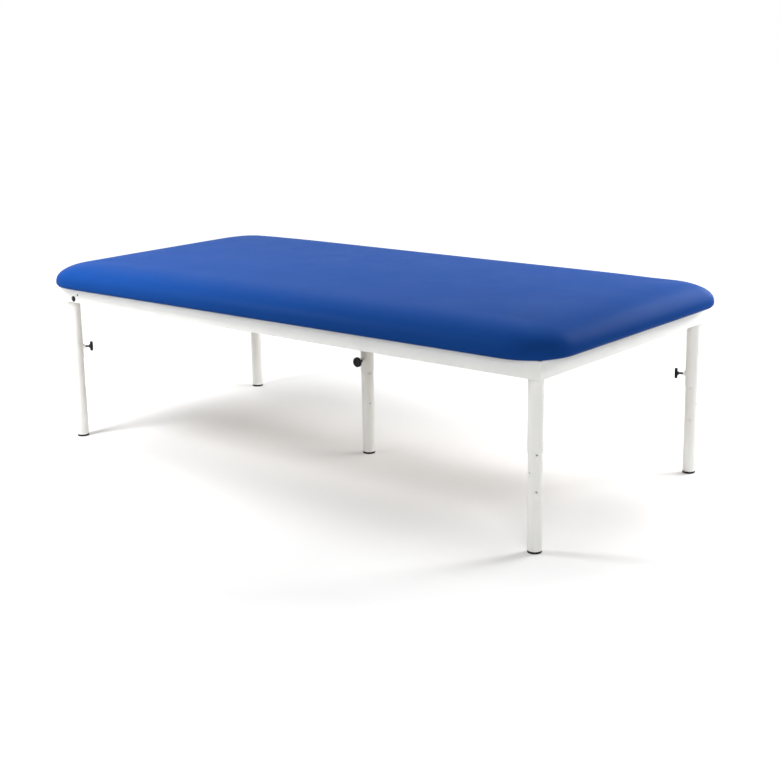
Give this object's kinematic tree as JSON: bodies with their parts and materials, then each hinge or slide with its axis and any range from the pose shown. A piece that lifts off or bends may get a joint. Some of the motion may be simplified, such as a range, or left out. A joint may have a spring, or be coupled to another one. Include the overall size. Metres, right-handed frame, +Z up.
{
  "type": "bobath table",
  "caption": "Wide low treatment table: a padded blue top with rounded edges on a white steel frame, carried by telescopic legs with clamp knobs and black feet.",
  "frame": {"origin": "on the floor under the centre leg, which is the middle of the table", "axes": "+X along the length, -Y towards the front long side, +Z up"},
  "size_m": [2, 1, 0.6],
  "materials": {
    "blue_cover": "satin",
    "foam": "matte",
    "plywood": "matte",
    "white_paint": "satin",
    "black_plastic": "satin",
    "black_rubber": "matte",
    "zinc_steel": "satin"
  },
  "bodies": {
    "frame": {"mattress_cover": "blue_cover", "mattress_foam": "foam", "base_board": "plywood", "front_rail": "white_paint", "rear_rail": "white_paint", "left_rail": "white_paint", "right_rail": "white_paint", "left_cross_rail": "white_paint", "right_cross_rail": "white_paint", "rail_plug": "black_plastic", "front_left_board_tab": "white_paint", "front_right_board_tab": "white_paint", "rear_left_board_tab": "white_paint", "rear_right_board_tab": "white_paint", "left_board_tab": "white_paint", "right_board_tab": "white_paint", "front_left_board_screw": "zinc_steel", "front_right_board_screw": "zinc_steel", "rear_left_board_screw": "zinc_steel", "rear_right_board_screw": "zinc_steel", "left_board_screw": "zinc_steel", "right_board_screw": "zinc_steel", "front_left_sleeve": "white_paint", "front_right_sleeve": "white_paint", "rear_right_sleeve": "white_paint", "rear_left_sleeve": "white_paint", "centre_sleeve": "white_paint", "front_left_clamp_boss": "white_paint", "front_right_clamp_boss": "white_paint", "rear_right_clamp_boss": "white_paint", "rear_left_clamp_boss": "white_paint", "centre_clamp_boss": "white_paint"},
    "front_left_leg": {"front_left_post": "white_paint", "front_left_foot": "black_rubber"},
    "front_right_leg": {"front_right_post": "white_paint", "front_right_foot": "black_rubber"},
    "rear_right_leg": {"rear_right_post": "white_paint", "rear_right_foot": "black_rubber"},
    "rear_left_leg": {"rear_left_post": "white_paint", "rear_left_foot": "black_rubber"},
    "centre_leg": {"centre_post": "white_paint", "centre_foot": "black_rubber"},
    "front_left_screw": {"front_left_clamp_screw": "zinc_steel"},
    "front_right_screw": {"front_right_clamp_screw": "zinc_steel"},
    "rear_right_screw": {"rear_right_clamp_screw": "zinc_steel"},
    "rear_left_screw": {"rear_left_clamp_screw": "zinc_steel"},
    "centre_screw": {"centre_clamp_screw": "zinc_steel"},
    "front_left_knob": {"front_left_clamp_knob": "black_plastic"},
    "front_right_knob": {"front_right_clamp_knob": "black_plastic"},
    "rear_right_knob": {"rear_right_clamp_knob": "black_plastic"},
    "rear_left_knob": {"rear_left_clamp_knob": "black_plastic"},
    "centre_knob": {"centre_clamp_knob": "black_plastic"}
  },
  "joints": [
    {"name": "front_left_leg_slide", "type": "slide", "parent": "frame", "child": "front_left_leg", "axis": [0, 0, 1], "range_m": [0, 0.15]},
    {"name": "front_right_leg_slide", "type": "slide", "parent": "frame", "child": "front_right_leg", "axis": [0, 0, 1], "range_m": [0, 0.15]},
    {"name": "rear_right_leg_slide", "type": "slide", "parent": "frame", "child": "rear_right_leg", "axis": [0, 0, 1], "range_m": [0, 0.15]},
    {"name": "rear_left_leg_slide", "type": "slide", "parent": "frame", "child": "rear_left_leg", "axis": [0, 0, 1], "range_m": [0, 0.15]},
    {"name": "centre_leg_slide", "type": "slide", "parent": "frame", "child": "centre_leg", "axis": [0, 0, 1], "range_m": [0, 0.15]},
    {"name": "front_left_screw_feed", "type": "slide", "parent": "frame", "child": "front_left_screw", "axis": [0.6691, 0.7431, 0], "range_m": [0, 0.0026]},
    {"name": "front_right_screw_feed", "type": "slide", "parent": "frame", "child": "front_right_screw", "axis": [-0.5736, 0.8192, 0], "range_m": [0, 0.0026]},
    {"name": "rear_right_screw_feed", "type": "slide", "parent": "frame", "child": "rear_right_screw", "axis": [-0.891, -0.454, 0], "range_m": [0, 0.0026]},
    {"name": "rear_left_screw_feed", "type": "slide", "parent": "frame", "child": "rear_left_screw", "axis": [0.6691, -0.7431, 0], "range_m": [0, 0.0026]},
    {"name": "centre_screw_feed", "type": "slide", "parent": "frame", "child": "centre_screw", "axis": [0, -1, 0], "range_m": [0, 0.0026]},
    {"name": "front_left_knob_turn", "type": "hinge", "parent": "front_left_screw", "child": "front_left_knob", "pos_m": [-0.9237, -0.4237, 0.31], "axis": [0.6691, 0.7431, 0], "range_deg": [0, 720]},
    {"name": "front_right_knob_turn", "type": "hinge", "parent": "front_right_screw", "child": "front_right_knob", "pos_m": [0.9237, -0.4237, 0.31], "axis": [-0.5736, 0.8192, 0], "range_deg": [0, 720]},
    {"name": "rear_right_knob_turn", "type": "hinge", "parent": "rear_right_screw", "child": "rear_right_knob", "pos_m": [0.9237, 0.4237, 0.31], "axis": [-0.891, -0.454, 0], "range_deg": [0, 720]},
    {"name": "rear_left_knob_turn", "type": "hinge", "parent": "rear_left_screw", "child": "rear_left_knob", "pos_m": [-0.9237, 0.4237, 0.31], "axis": [0.6691, -0.7431, 0], "range_deg": [0, 720]},
    {"name": "centre_knob_turn", "type": "hinge", "parent": "centre_screw", "child": "centre_knob", "pos_m": [0, 0, 0.31], "axis": [0, -1, 0], "range_deg": [0, 720]}
  ],
  "couplings": [
    {"joint": "front_left_screw_feed", "follows": "front_left_knob_turn", "m_per_rad": 0.00019894},
    {"joint": "front_right_screw_feed", "follows": "front_right_knob_turn", "m_per_rad": 0.00019894},
    {"joint": "rear_right_screw_feed", "follows": "rear_right_knob_turn", "m_per_rad": 0.00019894},
    {"joint": "rear_left_screw_feed", "follows": "rear_left_knob_turn", "m_per_rad": 0.00019894},
    {"joint": "centre_screw_feed", "follows": "centre_knob_turn", "m_per_rad": 0.00019894}
  ]
}
